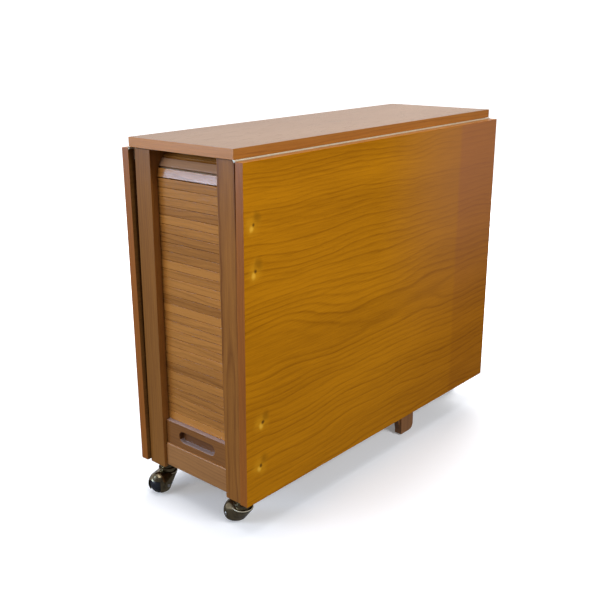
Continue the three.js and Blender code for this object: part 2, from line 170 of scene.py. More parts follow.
def softbox(name, place, target, width, height, watts):
    light = bpy.data.lights.new(name, "AREA")
    light.shape = "RECTANGLE"
    light.size = width
    light.size_y = height
    light.energy = watts
    holder = bpy.data.objects.new(name, light)
    holder.location = place
    holder.rotation_euler = (Vector(target) - Vector(place)).to_track_quat("-Z", "Y").to_euler()
    bpy.context.scene.collection.objects.link(holder)
    return holder


softbox("key_light", (-0.3, -2.7, 1.9), (-0.1, 0, 0.45), 1.0, 1.0, 66).visible_glossy = False
softbox("overhead_light", (0.1, 0.2, 2.9), (0, 0, 0), 2.4, 2.0, 50)
window = softbox("window_light", (-2.40, 1.70, 0.80), (-0.4, 0, 0.7), 1.0, 0.34, 22)
high_window = softbox("high_window_light", (-1.68, 1.63, 2.1), (-0.4, 0, 0.7), 0.8, 0.5, 7)
high_window.visible_diffuse = False
for pane in (window, high_window):
    pane.data.color = (0.48, 0.68, 1.0)
softbox("door_light", (-2.7, 0.5, 1.7), (-0.44, 0, 0.4), 1.2, 0.9, 21).visible_glossy = False
softbox("back_light", (2.6, 1.1, 1.7), (0, 0, 0.2), 1.8, 1.4, 74).visible_glossy = False

FLOOR_REACH = 30
floor_mesh = bpy.data.meshes.new("studio_floor")
corners = [(-FLOOR_REACH, -FLOOR_REACH, 0), (FLOOR_REACH, -FLOOR_REACH, 0)]
corners += [(FLOOR_REACH, FLOOR_REACH, 0), (-FLOOR_REACH, FLOOR_REACH, 0)]
floor_mesh.from_pydata(corners, [], [(0, 1, 2, 3)])
floor = bpy.data.objects.new("studio_floor", floor_mesh)
bpy.context.scene.collection.objects.link(floor)
floor.visible_glossy = False
floor.visible_diffuse = False
paint = bpy.data.materials.new("floor_with_painted_glow")
paint.use_nodes = True
floor_mix = Mix(paint.node_tree)
floor_place = floor_mix.add("TexCoord", out=3)
floor_shade = floor_mix.ramp(floor_mix.noise(floor_place, 3.0), (0.3, (0.82, 0.84, 0.88, 1)),
                             (0.7, (0.84, 0.86, 0.90, 1)))
floor_skin = floor_mix.add("BsdfPrincipled", Base_Color=floor_shade, Roughness=0.9)
# The floor glows as painted light: weakly close to the table and pure white from 1.5 m out, so the table's
# shadow fades into a white floor.
away = floor_mix.add("VectorMath", out=1, settings={"operation": "LENGTH"}, Vector=floor_place)
floor_skin.node.inputs["Emission Color"].default_value = (1, 1, 1, 1)
floor_glow = floor_mix.sum("MULTIPLY_ADD", floor_mix.between(away, 0.25, 1.5), 0.9, 0.17)
floor_mix.fill(floor_skin.node.inputs["Emission Strength"], floor_glow)
floor_mix.finish("Material", floor_skin)
floor_mesh.materials.append(paint)


# --- Fixed top -------------------------------------------------------------------------
# A veneered board with the grain running along the table. Solid teak lippings are glued
# round its four edges and mitred at the corners; the arrises are not eased here.

def wood(name, along, across, pale, dark, ring=0.011, heart=(0.0, 0.03), wander=0.03,
         seed=0.0, gloss=0.34, contrast=0.35, shine=0.5, strips=False, extra=None):
    """Teak cut from a log: rings about a heart that wanders, fine fibres, pores and broad bands."""
    material = bpy.data.materials.new(name)
    material.use_nodes = True
    mix = Mix(material.node_tree)
    place = mix.add("SeparateXYZ", Vector=mix.add("TexCoord", out=3)).node
    axes = {letter: place.outputs[i] for i, letter in enumerate("XYZ")}
    deep = (set("XYZ") - {along, across}).pop()
    length, breadth, depth = axes[along], axes[across], axes[deep]
    start = seed
    if strips:
        strip = mix.add("Attribute", out=2, settings={"attribute_name": "strip"})
        start = mix.sum("MULTIPLY_ADD", strip, 9.0, seed)
    length = mix.sum("ADD", length, start)
    slow = mix.noise(mix.vector(length, mix.sum("MULTIPLY", breadth, 2.2), depth), 2.3, 2.0, out=1)
    drift = mix.add("SeparateXYZ", Vector=slow).node
    shift = mix.sum("MULTIPLY_ADD", drift.outputs[0], wander, -heart[0] - wander / 2)
    sink = mix.sum("MULTIPLY_ADD", drift.outputs[1], wander, -heart[1] - wander / 2)
    wobble = mix.noise(mix.vector(length, mix.sum("MULTIPLY", breadth, 3.0), depth), 11.0, 2.0)
    side = mix.sum("ADD", breadth, shift)
    side = mix.sum("MULTIPLY_ADD", wobble, 0.008, side)
    far = mix.sum("ADD", depth, sink)
    count = mix.sum("DIVIDE", mix.reach(side, far), ring)
    grown = mix.ramp(mix.sum("FRACT", count), (0.0, 0.25), (0.12, 0.0), (0.6, 0.25), (0.86, 1.0),
                     (1.0, 0.4))
    year = mix.add("TexWhiteNoise", settings={"noise_dimensions": "1D"}, W=mix.sum("FLOOR", count))
    figure = mix.sum("MULTIPLY", grown, mix.sum("MULTIPLY_ADD", year, 0.9, 0.25))

    def drawn_out(stretch, scale, detail):
        """Noise pulled out along the grain."""
        return mix.noise(mix.vector(mix.sum("MULTIPLY", length, stretch), breadth, depth), scale, detail)

    fibre = drawn_out(0.035, 420.0, 3.0)
    pores = mix.between(drawn_out(0.08, 900.0, 1.0), 0.62, 0.72)
    bands = drawn_out(0.12, 14.0, 3.0)
    share = mix.sum("MULTIPLY", figure, contrast)
    share = mix.sum("ADD", share, mix.sum("MULTIPLY_ADD", bands, 1.1, -0.35))
    share = mix.sum("ADD", share, mix.sum("MULTIPLY_ADD", fibre, 0.9, -0.45))
    if strips:
        share = mix.sum("ADD", share, mix.sum("MULTIPLY_ADD", strip, 0.6, -0.3))
    share = mix.sum("ADD", share, mix.sum("MULTIPLY", pores, 0.25), clamp=True)
    colour = mix.blend(share, (*pale, 1), (*dark, 1))
    if extra:
        colour = extra(mix, axes, colour)
    skin = mix.add("BsdfPrincipled", Base_Color=colour)
    skin.node.inputs["Specular IOR Level"].default_value = shine
    mix.fill(skin.node.inputs["Roughness"], mix.sum("MULTIPLY_ADD", fibre, 0.16, gloss - 0.08))
    grit = mix.sum("SUBTRACT", fibre, mix.sum("MULTIPLY", pores, 0.8))
    bump = mix.add("Bump", Strength=0.12, Distance=0.0006, Height=grit)
    mix.fill(skin.node.inputs["Normal"], bump)
    mix.finish("Material", skin)
    return material


def board(low, high):
    """A square-edged board between two opposite corners."""
    shape = bmesh.new()
    bmesh.ops.create_cube(shape, size=1.0)
    for corner in shape.verts:
        corner.co = [high[i] if corner.co[i] > 0 else low[i] for i in range(3)]
    return shape


def prism(outline, axis, low, high):
    """An outline in the plane across an axis, pushed along that axis from low to high."""
    shape = bmesh.new()
    ends = []
    for reach in (low, high):
        points = [list(point) for point in outline]
        for point in points:
            point.insert("XYZ".index(axis), reach)
        ends.append([shape.verts.new(point) for point in points])
    shape.faces.new(ends[0])
    shape.faces.new(list(reversed(ends[1])))
    for i in range(len(outline)):
        j = (i + 1) % len(outline)
        shape.faces.new((ends[0][j], ends[0][i], ends[1][i], ends[1][j]))
    bmesh.ops.recalc_face_normals(shape, faces=shape.faces)
    return shape


def gather(shapes):
    """Several loose solids as one mesh, such as a row of screws."""
    whole = bmesh.new()
    for shape in shapes:
        mesh = bpy.data.meshes.new("loose")
        shape.to_mesh(mesh)
        shape.free()
        whole.from_mesh(mesh)
        bpy.data.meshes.remove(mesh)
    return whole


def piece(name, shape, body, finish, stands_for=(), ease=0.0, steps=2):
    """A mesh made into a piece of the table: arrises eased, finish on, riding on its body."""
    if ease:
        arrises = [edge for edge in shape.edges if edge.is_manifold and edge.calc_face_angle() > 0.6]
        bmesh.ops.bevel(shape, geom=arrises, offset=ease, segments=steps, profile=0.5,
                        affect="EDGES", clamp_overlap=True)
    mesh = bpy.data.meshes.new(name)
    shape.to_mesh(mesh)
    shape.free()
    mesh.polygons.foreach_set("use_smooth", [True] * len(mesh.polygons))
    mesh.set_sharp_from_angle(angle=math.radians(50))
    made = bpy.data.objects.new(name, mesh)
    bpy.context.scene.collection.objects.link(made)
    made.modifiers.new("even_shading", "WEIGHTED_NORMAL").keep_sharp = True
    mesh.materials.append(finish)
    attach(made, body)
    if stands_for:
        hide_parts(*stands_for)
    return made


LIPPING = 0.006
top_low, top_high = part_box("fixed_top")
top_wood = wood("teak_top", "X", "Y", (0.31, 0.175, 0.085), (0.20, 0.100, 0.042), ring=0.012,
                heart=(0.05, top_high.z - 0.05), seed=3.1, gloss=0.30)
edge_x_wood = wood("teak_lipping_x", "X", "Z", (0.41, 0.157, 0.027), (0.24, 0.082, 0.014),
                   ring=0.007, seed=5.2, shine=0.3)
edge_y_wood = wood("teak_lipping_y", "Y", "Z", (0.66, 0.265, 0.056), (0.44, 0.155, 0.030),
                   ring=0.007, seed=7.7)
edge_z_wood = wood("teak_lipping_z", "Z", "Y", (0.45, 0.142, 0.017), (0.28, 0.082, 0.010),
                   ring=0.007, heart=(-0.15, -0.43), seed=1.4)


def lipped_board(name, low, high, body, thin, skin_wood, lippings, node):
    """A veneered board with four mitred lippings; thin is the index of its thickness axis."""
    wide = [i for i in range(3) if i != thin]
    inner_low, inner_high = Vector(low), Vector(high)
    for i in wide:
        inner_low[i] += LIPPING
        inner_high[i] -= LIPPING
    panel = piece(name, board(inner_low, inner_high), body, skin_wood, (node,))
    for i, j in (wide, wide[::-1]):
        for end, (outer, inner) in {"low": (low, inner_low), "high": (high, inner_high)}.items():
            plan = [(outer[i], low[j]), (outer[i], high[j])]
            plan += [(inner[i], inner_high[j]), (inner[i], inner_low[j])]
            if i > j:
                plan = [(b, a) for a, b in plan]
            strip = prism(plan, "XYZ"[thin], low[thin], high[thin])
            label = f"{name}_lipping_{'xyz'[i]}_{end}"
            lipping = piece(label, strip, body, lippings["XYZ"[j]])
            lipping.data.materials.append(skin_wood)
            for face in lipping.data.polygons:
                if abs(face.normal[thin]) > 0.6:
                    face.material_index = 1
    return panel


lippings = {"X": edge_x_wood, "Y": edge_y_wood, "Z": edge_z_wood}
lipped_board("top_board", top_low, top_high, "carcase", 2, top_wood, lippings, "fixed_top")


# --- Drop leaves -----------------------------------------------------------------------
# Veneered boards of the same thickness as the top, with solid edges and eased arrises. The near
# one has four pin knots by its door end, a cooler flitch of veneer at its other end, painted shade
# towards that end and a painted greyish sheen over its upper part.

KNOTS = [(-0.416, 0.614), (-0.412, 0.528), (-0.396, 0.229), (-0.402, 0.141)]
FLITCH = 0.280


def knots_flitch_and_painted_light(mix, axes, colour):
    flat_place = mix.vector(axes["X"], 0.0, axes["Z"])
    tail = mix.noise(flat_place, 9.0, 3.0)
    swirl = mix.noise(flat_place, 55.0, 3.0)
    edge = mix.sum("MULTIPLY_ADD", tail, 0.012, axes["X"])
    high = mix.between(axes["Z"], 0.20, 0.66)
    toward = mix.between(edge, -0.05, FLITCH + 0.05)
    # painted sheen: towards the flitch end the upper part of the face is blended to a greyish tone that
    # stands in for a reflection
    painted_sheen = mix.sum("MULTIPLY", mix.sum("MULTIPLY", high, toward), 0.6)
    colour = mix.blend(painted_sheen, colour, (0.46, 0.205, 0.075, 1))
    # painted shade: the face darkens towards the flitch end
    colour = mix.blend(toward, colour, mix.blend(1.0, colour, (0.88, 0.83, 0.9, 1), "MULTIPLY"))
    beyond = mix.between(edge, FLITCH - 0.004, FLITCH + 0.012)
    # the flitch past the joint: its own cooler veneer tone, with a bluer cast that is painted sheen
    colour = mix.blend(beyond, colour, mix.blend(1.0, colour, (0.92, 0.89, 1.2, 1), "MULTIPLY"))

    def spot(x, z, size, strength, tone):
        """A ragged patch of another tone about a point of the board's face."""
        out_x = mix.sum("MULTIPLY", mix.sum("SUBTRACT", axes["X"], x), 1.1)
        out_z = mix.sum("SUBTRACT", axes["Z"], z)
        ragged = mix.sum("MULTIPLY_ADD", swirl, size * 1.1, mix.reach(out_x, out_z))
        share = mix.sum("MULTIPLY", mix.between(ragged, size * 1.5, size * 0.7), strength)
        return mix.blend(share, colour, tone)

    for x, z in KNOTS:
        colour = spot(x, z, 0.030, 0.55, (0.66, 0.30, 0.010, 1))
        colour = spot(x + 0.011, z + 0.012, 0.017, 0.65, (0.27, 0.105, 0.002, 1))
        colour = spot(x - 0.002, z - 0.007, 0.009, 0.85, (0.85, 0.45, 0.040, 1))
        colour = spot(x + 0.003, z, 0.006, 0.9, (0.10, 0.040, 0.004, 1))
    return colour


def from_cad(node):
    """The outline of a CAD node as a clean mesh, its flat faces whole again."""
    shape = bmesh.new()
    shape.from_mesh(frame["nodes"][node].data)
    bmesh.ops.remove_doubles(shape, verts=shape.verts, dist=1e-5)
    bmesh.ops.dissolve_limit(shape, angle_limit=math.radians(1), verts=shape.verts, edges=shape.edges)
    return shape


for side, sign in (("near", -1), ("far", 1)):
    leaf_wood = wood(f"teak_leaf_{side}", "X", "Z", (0.53, 0.207, 0.003), (0.285, 0.098, 0.001),
                     ring=0.011, heart=(0.36, sign * 0.10), wander=0.075, gloss=0.42, contrast=0.50,
                     seed=0.0 if sign < 0 else 4.0, shine=0.1,
                     extra=knots_flitch_and_painted_light if sign < 0 else None)
    # The inner faces take a much darker teak: painted shade, as they stand in the shadow of the carcase.
    inside_painted_shade = wood(f"teak_leaf_inside_painted_shade_{side}", "X", "Z", (0.22, 0.095, 0.022), (0.13, 0.052, 0.010),
                       ring=0.011, heart=(0.30, 0.0), wander=0.12, seed=6.0 + sign, gloss=0.45)
    made = piece(f"leaf_board_{side}", from_cad(f"leaf_{side}"), f"leaf_{side}",
                 leaf_wood, (f"leaf_{side}",), ease=0.0008)
    made.data.materials.append(edge_z_wood)
    made.data.materials.append(edge_x_wood)
    made.data.materials.append(inside_painted_shade)
    for face in made.data.polygons:
        if abs(face.normal.x) > 0.6:
            face.material_index = 1
        elif abs(face.normal.z) > 0.6:
            face.material_index = 2
        elif face.normal.y * sign < -0.6:
            face.material_index = 3


# --- Piano hinges ----------------------------------------------------------------------
# Each leaf hangs on a full-length brass piano hinge: two thin plates whose edges are rolled
# into short knuckles round one steel wire, held by slotted countersunk screws.

KNUCKLE_PAIRS = 28
ROLL = 0.0021                     # outer radius of a rolled knuckle
PLATE = 0.0011
PLATE_WIDTH = 0.024
PLATE_INSET = 0.014               # the plates stop short of the knuckles at both ends
HINGE_SCREWS = 12
SCREW_HEAD = 0.0028


def metal(name, colour, shade, rough, worn=0.5, bare=1.0):
    """A drawn metal: small changes of tone, a fine drawn texture and uneven polish."""
    material = bpy.data.materials.new(name)
    material.use_nodes = True
    mix = Mix(material.node_tree)
    place = mix.add("TexCoord", out=3)
    cloud = mix.noise(place, 90.0, 4.0)
    dulled = mix.sum("MULTIPLY", mix.between(cloud, 0.35, 0.7), worn)
    colour = mix.blend(dulled, (*colour, 1), (*shade, 1))
    scratch = mix.noise(place, 1400.0, 2.0)
    skin = mix.add("BsdfPrincipled", Base_Color=colour)
    skin.node.inputs["Metallic"].default_value = bare
    mix.fill(skin.node.inputs["Roughness"], mix.sum("MULTIPLY_ADD", cloud, 0.2, rough - 0.1))
    mix.fill(skin.node.inputs["Normal"], mix.add("Bump", Strength=0.05, Distance=0.0002, Height=scratch))
    mix.finish("Material", skin)
    return material


brass = metal("hinge_brass", (0.90, 0.84, 0.66), (0.74, 0.65, 0.45), 0.36, bare=0.55)
wire_steel = metal("plated_steel", (0.62, 0.62, 0.61), (0.42, 0.42, 0.43), 0.30)


def rolled_outline():
    """The end view of one knuckle: the plate's edge rolled nearly all the way round."""
    bore = ROLL - PLATE
    turns = [math.radians(angle) for angle in range(0, 300, 21)]
    outer = [(ROLL * math.cos(a), ROLL * math.sin(a)) for a in turns]
    inner = [(bore * math.cos(a), bore * math.sin(a)) for a in reversed(turns)]
    foot = -ROLL - 0.001
    return [(ROLL, foot), *outer, *inner, (bore, foot)]


def screw_head(radius, place, facing, slot_turn, rise=0.0003):
    """A countersunk head seen from outside: two half discs with the driver slot between them."""
    halves = []
    for half_turn in (0, math.pi):
        arc = [math.radians(a) for a in range(-80, 81, 16)]
        outline = [(radius * math.cos(a), radius * math.sin(a)) for a in arc]
        half = prism(outline, "Z", -0.0006, rise)
        bmesh.ops.rotate(half, verts=half.verts, matrix=Matrix.Rotation(half_turn + slot_turn, 3, "Z"))
        halves.append(half)
    head = gather(halves)
    aim = Vector(facing).to_track_quat("Z", "Y").to_matrix().to_4x4()
    bmesh.ops.transform(head, verts=head.verts, matrix=Matrix.Translation(place) @ aim)
    return head


def hinge_half(length):
    """Plate hanging down from the axis, outside it, with every second knuckle and its screws."""
    inside = ROLL - PLATE
    half = length / 2 - PLATE_INSET
    strip = board((-half, inside, -PLATE_WIDTH), (half, ROLL, -ROLL - 0.0004))
    parts = [strip]
    pitch = length / KNUCKLE_PAIRS / 2
    for i in range(KNUCKLE_PAIRS):
        start = -length / 2 + 2 * i * pitch
        parts.append(prism(rolled_outline(), "X", start + 0.0001, start + pitch - 0.0001))
    screws = []
    for i in range(HINGE_SCREWS):
        x = (i - (HINGE_SCREWS - 1) / 2) * length / 12.2
        screws.append(screw_head(SCREW_HEAD, (x, inside - 0.0001, -0.0145), (0, -1, 0), 0.7 * i))
    return gather(parts), gather(screws)


hinge_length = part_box("hinge_pin_near")[1].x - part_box("hinge_pin_near")[0].x + 0.002
leaf_tilt = math.radians(frame["joints"][0]["range_deg"][1] - 90)
for side, sign in (("near", -1), ("far", 1)):
    joint = next(j for j in frame["joints"] if j["name"] == f"leaf_{side}_lift")
    axis_place = Matrix.Translation(joint["pos_m"])
    half_turn = Matrix.Rotation(0 if sign > 0 else math.pi, 4, "Z")
    hung = axis_place @ Matrix.Rotation(-sign * leaf_tilt, 4, "X") @ half_turn
    turned_under = Matrix.Rotation(math.pi, 4, "Z") @ Matrix.Rotation(math.pi / 2, 4, "X")
    flat = axis_place @ half_turn @ turned_under
    for half, body, where in (("fixed", "carcase", flat), ("moving", f"leaf_{side}", hung)):
        plate, screws = hinge_half(hinge_length)
        for shape in (plate, screws):
            bmesh.ops.transform(shape, verts=shape.verts, matrix=where)
        name = f"piano_hinge_{half}_{side}"
        piece(name, plate, body, brass, (f"hinge_{half}_{side}",))
        piece(f"{name}_screws", screws, body, brass)
    frame["nodes"][f"hinge_pin_{side}"].data.materials.clear()
    frame["nodes"][f"hinge_pin_{side}"].data.materials.append(wire_steel)


# --- Corner posts ----------------------------------------------------------------------
# Four posts of solid teak, planed square, glued to the panels and rails and eased on every
# arris. The front pair is grooved inside for the ends of the slats.

post_woods = {
    "front_near": wood("teak_post_front_near", "Z", "Y", (0.46, 0.185, 0.036), (0.24, 0.084, 0.016),
                       ring=0.006, heart=(-0.105, -0.395), wander=0.03, seed=2.2, contrast=0.8,
                       shine=0.3),
    "front_far": wood("teak_post_front_far", "Z", "Y", (0.38, 0.155, 0.032), (0.21, 0.076, 0.015),
                      ring=0.005, heart=(0.16, -0.40), wander=0.015, seed=6.4, contrast=0.4, shine=0.3),
    "back": wood("teak_post_back", "Z", "Y", (0.31, 0.145, 0.052), (0.17, 0.070, 0.023),
                 ring=0.006, heart=(0.02, 0.40), wander=0.02, seed=9.1, contrast=0.4),
}
for corner in ("front_near", "front_far", "back_near", "back_far"):
    post_wood = post_woods.get(corner) or post_woods["back"]
    piece(f"corner_post_{corner}", from_cad(f"post_{corner}"), "carcase", post_wood,
          (f"post_{corner}",), ease=0.0009)


# --- Carcase between the posts ---------------------------------------------------------
# Veneered side and end panels, teak rails at the foot, and a plywood floor and cross rail
# that hold the carcase square. All are glued and dowelled.

panel_wood = wood("teak_panels", "Z", "X", (0.36, 0.165, 0.040), (0.20, 0.080, 0.018), ring=0.012,
                  heart=(0.1, 0.05), wander=0.06, seed=12.0, contrast=0.4)
end_panel_wood = wood("teak_end_panel", "Z", "Y", (0.36, 0.165, 0.045), (0.20, 0.080, 0.018), ring=0.012,
                      heart=(0.02, 0.36), wander=0.05, seed=14.0, contrast=0.4)
rail_wood = wood("teak_plinth", "Y", "Z", (0.51, 0.235, 0.078), (0.32, 0.132, 0.040), ring=0.006,
                 heart=(0.03, -0.37), seed=4.6, contrast=0.45)
ply = wood("inner_ply", "X", "Y", (0.36, 0.235, 0.125), (0.25, 0.150, 0.075), ring=0.02,
           heart=(0.3, 0.2), seed=8.8, contrast=0.25, gloss=0.55)
carcase_boards = {
    "side_panel_near": ("teak_veneer", panel_wood, 0.0005),
    "side_panel_far": ("teak_veneer", panel_wood, 0.0005),
    "end_panel": ("teak_veneer", end_panel_wood, 0.0005),
    "front_plinth_rail": ("teak_solid", rail_wood, 0.0022),
    "back_plinth_rail": ("teak_solid", rail_wood, 0.0010),
    "floor_board": ("inner_ply", ply, 0.0004),
    "top_cross_rail": ("inner_ply", ply, 0.0008),
    "tambour_track_near": ("inner_ply", ply, 0.0005),
    "tambour_track_far": ("inner_ply", ply, 0.0005),
}
for node, (slot, finish, ease) in carcase_boards.items():
    piece(f"{node}_wood", from_cad(node), "carcase", finish, (node,), ease=ease)


# --- Tambour door ----------------------------------------------------------------------
# Narrow teak slats glued side by side to a cotton canvas back, so that the door bends. They
# slide in grooves, stand upright behind the posts, turn over the bend and run under the top.

LEAD_SLATS = 2
SLATS = 28
BEND_SLATS = 4
TAIL_SLATS = 3
SLAT_THICK = 0.008
SLAT_ARRIS = 0.0004
SEAM = 0.0008
CLOTH = 0.0006
THREADS = 5200.0                  # radians of weave to the metre
lead_low, lead_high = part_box("tambour_lead_slats")
curtain_low, curtain_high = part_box("tambour_curtain")
slat_pitch = (curtain_high.z - lead_low.z + 0.0003) / SLATS
canvas_x = lead_low.x + SLAT_THICK
bend_z = lead_low.z + SLATS * slat_pitch
bend_step = math.pi / 2 / BEND_SLATS
bend_radius = slat_pitch / bend_step
bend_x = canvas_x + bend_radius
slat_wood = wood("teak_slats", "Y", "Z", (0.66, 0.28, 0.060), (0.28, 0.104, 0.020), ring=0.010,
                 heart=(0.3, -0.38), wander=0.05, seed=1.0, contrast=0.35, gloss=0.25, strips=True)

# A paler, greyer teak for the second slat of the bend: a painted glare of the window light.
painted_glare_slat_wood = wood("teak_slat_painted_glare", "Y", "Z", (0.52, 0.29, 0.16), (0.30, 0.155, 0.085), ring=0.010,
                    heart=(0.3, -0.38), wander=0.05, seed=1.0, contrast=0.35, gloss=0.25, strips=True)


def slat(number, place):
    """One slat: its back on the canvas line, its face outwards, laid in place by a matrix."""
    half = (slat_pitch - SEAM) / 2
    shape = board((-SLAT_THICK, lead_low.y, -half), (-0.0001, lead_high.y, half))
    bmesh.ops.bevel(shape, geom=shape.edges[:], offset=SLAT_ARRIS, segments=2, profile=0.5,
                    affect="EDGES")
    strip = shape.faces.layers.float.new("strip")
    for face in shape.faces:
        face[strip] = (number * 0.618 + 0.13 * (number % 3)) % 1.0
    bmesh.ops.transform(shape, verts=shape.verts, matrix=place)
    return shape


def upright_slats(first, last):
    """The slats from first up to last, counted from the handle rail."""
    heights = {i: lead_low.z + (i + 0.5) * slat_pitch for i in range(first, last)}
    return gather(slat(i, Matrix.Translation((canvas_x, 0, z))) for i, z in heights.items())


def canvas(name, path, body):
    """The cloth back as a thin strip along a path in X and Z."""
    inside = path
    outside = []
    for i, (x, z) in enumerate(path):
        before, after = path[max(i - 1, 0)], path[min(i + 1, len(path) - 1)]
        along = Vector((after[0] - before[0], 0, after[1] - before[1])).normalized()
        outside.append((x + along.z * CLOTH, z - along.x * CLOTH))
    cloth = prism(inside + outside[::-1], "Y", lead_low.y + 0.001, lead_high.y - 0.001)
    made = piece(name, cloth, body, cotton)
    return made


cotton = bpy.data.materials.new("canvas_back")
cotton.use_nodes = True
weave = Mix(cotton.node_tree)
cloth_place = weave.add("SeparateXYZ", Vector=weave.add("TexCoord", out=3)).node
warp = weave.sum("SINE", weave.sum("MULTIPLY", cloth_place.outputs[1], THREADS))
lengthwise = weave.sum("ADD", cloth_place.outputs[0], cloth_place.outputs[2])
weft = weave.sum("SINE", weave.sum("MULTIPLY", lengthwise, THREADS))
threads = weave.sum("MULTIPLY", warp, weft)
soil = weave.noise(weave.add("TexCoord", out=3), 40.0, 3.0)
cloth_colour = weave.blend(soil, (0.62, 0.55, 0.42, 1), (0.46, 0.39, 0.28, 1))
cloth_skin = weave.add("BsdfPrincipled", Base_Color=cloth_colour)
cloth_skin.node.inputs["Roughness"].default_value = 0.9
raised = weave.add("Bump", Strength=0.3, Distance=0.0003, Height=threads)
weave.fill(cloth_skin.node.inputs["Normal"], raised)
weave.finish("Material", cloth_skin)

piece("slats_lead", upright_slats(0, LEAD_SLATS), "tambour_door", slat_wood,
      ("tambour_lead_slats",))
canvas("canvas_lead", [(canvas_x, lead_low.z), (canvas_x, lead_high.z)], "tambour_door")

curtain = piece("slats_upright", upright_slats(LEAD_SLATS, SLATS), "carcase", slat_wood,
                ("tambour_curtain",))
curtain_line = [(canvas_x, curtain_low.z), (canvas_x, curtain_high.z)]
curtain_cloth = canvas("canvas_upright", curtain_line, "carcase")
for gathered in (curtain, curtain_cloth):
    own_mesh(gathered)

bent = []
for i in range(BEND_SLATS):
    angle = (i + 0.5) * bend_step
    out = Matrix.Translation((bend_x, 0, bend_z)) @ Matrix.Rotation(angle, 4, "Y")
    bent.append(slat(40 + i, out @ Matrix.Translation((-bend_radius - 0.0005, 0, 0))))
for i in range(TAIL_SLATS):
    out = Matrix.Translation((bend_x + (i + 0.5) * slat_pitch, 0, bend_z + bend_radius))
    bent.append(slat(50 + i, out @ Matrix.Rotation(math.pi / 2, 4, "Y")))
bend = piece("slats_bend", gather(bent), "carcase", slat_wood, ("tambour_bend",))
bend.data.materials.append(painted_glare_slat_wood)
# the faces of the second bend slat take the painted glare
for face in bend.data.polygons:
    climb = math.atan2(face.center.z - bend_z, bend_x - face.center.x)
    if bend_step < climb < 2 * bend_step:
        face.material_index = 1
turns = [math.pi - i * bend_step / 4 for i in range(4 * BEND_SLATS + 1)]
bend_path = [(bend_x + bend_radius * math.cos(a), bend_z + bend_radius * math.sin(a)) for a in turns]
tail = [(bend_x + TAIL_SLATS * slat_pitch, bend_z + bend_radius)]
canvas("canvas_bend", bend_path + tail, "carcase")


# --- Handle rail -----------------------------------------------------------------------
# The solid rail at the foot of the door. A round-ended finger recess is routed into its
# face, and its ends are tongued to slide in the grooves.

def carved(shape, cutter):
    """The shape with the cutter's space taken away."""
    objects = []
    for source in (shape, cutter):
        mesh = bpy.data.meshes.new("carving")
        source.to_mesh(mesh)
        source.free()
        objects.append(bpy.data.objects.new("carving", mesh))
        bpy.context.scene.collection.objects.link(objects[-1])
    cut = objects[0].modifiers.new("cut", "BOOLEAN")
    cut.object = objects[1]
    cut.operation = "DIFFERENCE"
    cut.solver = "EXACT"
    bpy.context.view_layer.update()
    result = bmesh.new()
    result.from_object(objects[0], bpy.context.evaluated_depsgraph_get())
    for made in objects:
        bpy.data.objects.remove(made)
    bmesh.ops.remove_doubles(result, verts=result.verts, dist=1e-6)
    bmesh.ops.dissolve_limit(result, angle_limit=math.radians(0.5), verts=result.verts,
                             edges=result.edges)
    return result


RECESS_LENGTH = 0.104
RECESS_HEIGHT = 0.023
RECESS_DEPTH = 0.011
RECESS_Z = 0.1425
END_PLAY = 0.0007
rail_low, rail_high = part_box("handle_rail")
plinth_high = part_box("front_plinth_rail")[1]
handle_wood = wood("teak_handle", "Y", "Z", (0.36, 0.145, 0.036), (0.20, 0.072, 0.018), ring=0.005,
                   heart=(0.10, -0.38), seed=11.3, contrast=0.5, gloss=0.30)
body_half = plinth_high.y - END_PLAY
front_x, rear_x = rail_low.x, rail_high.x
tongue_x, tongue_rear_x = canvas_x - SLAT_THICK, canvas_x
plan = [(front_x, -body_half), (tongue_x, -body_half), (tongue_x, rail_low.y),
        (tongue_rear_x, rail_low.y), (tongue_rear_x, -body_half), (rear_x, -body_half),
        (rear_x, body_half), (tongue_rear_x, body_half), (tongue_rear_x, rail_high.y),
        (tongue_x, rail_high.y), (tongue_x, body_half), (front_x, body_half)]
rail = prism(plan, "Z", rail_low.z, rail_high.z)
end_radius = RECESS_HEIGHT / 2
end_y = RECESS_LENGTH / 2 - end_radius
arc = [math.radians(a) for a in range(-90, 91, 9)]
stadium = [(end_y + end_radius * math.cos(a), RECESS_Z + end_radius * math.sin(a)) for a in arc]
stadium += [(-y, 2 * RECESS_Z - z) for y, z in stadium]
recess = prism(stadium, "X", rail_low.x - 0.01, rail_low.x + RECESS_DEPTH)
# A darker teak inside the finger recess: painted shade.
recess_painted_shade = wood("teak_recess_painted_shade", "Y", "Z", (0.21, 0.082, 0.024), (0.12, 0.044, 0.013), ring=0.005,
                   heart=(0.10, -0.38), seed=11.3, contrast=0.5, gloss=0.4)
# A pale lavender teak on the rail's top faces: painted light from the sky above.
ledge_painted_skylight = wood("teak_ledge_painted_skylight", "Y", "X", (0.50, 0.38, 0.36), (0.36, 0.25, 0.22), ring=0.004,
                  heart=(0.10, -0.38), seed=2.9, contrast=0.4, gloss=0.3)
handle = piece("handle_rail_wood", carved(rail, recess), "tambour_door", handle_wood,
               ("handle_rail",), ease=0.0012)
handle.data.materials.append(recess_painted_shade)
handle.data.materials.append(ledge_painted_skylight)
# Top faces take the painted skylight, faces inside the recess the painted shade.
for face in handle.data.polygons:
    x, y, z = face.center
    if face.normal.z > 0.6:
        face.material_index = 2
    elif abs(y) < RECESS_LENGTH / 2 + 0.0005 and rail_low.z + 0.003 < z < rail_high.z - 0.003:
        if rail_low.x + 0.0013 < x < rail_low.x + RECESS_DEPTH + 0.0005:
            face.material_index = 1


# --- Gate legs -------------------------------------------------------------------------
# Under each leaf a light gate frame folds flat against the side panel. Its stile hangs on
# two brass butt hinges from a batten, and its leg stands just clear of the floor.

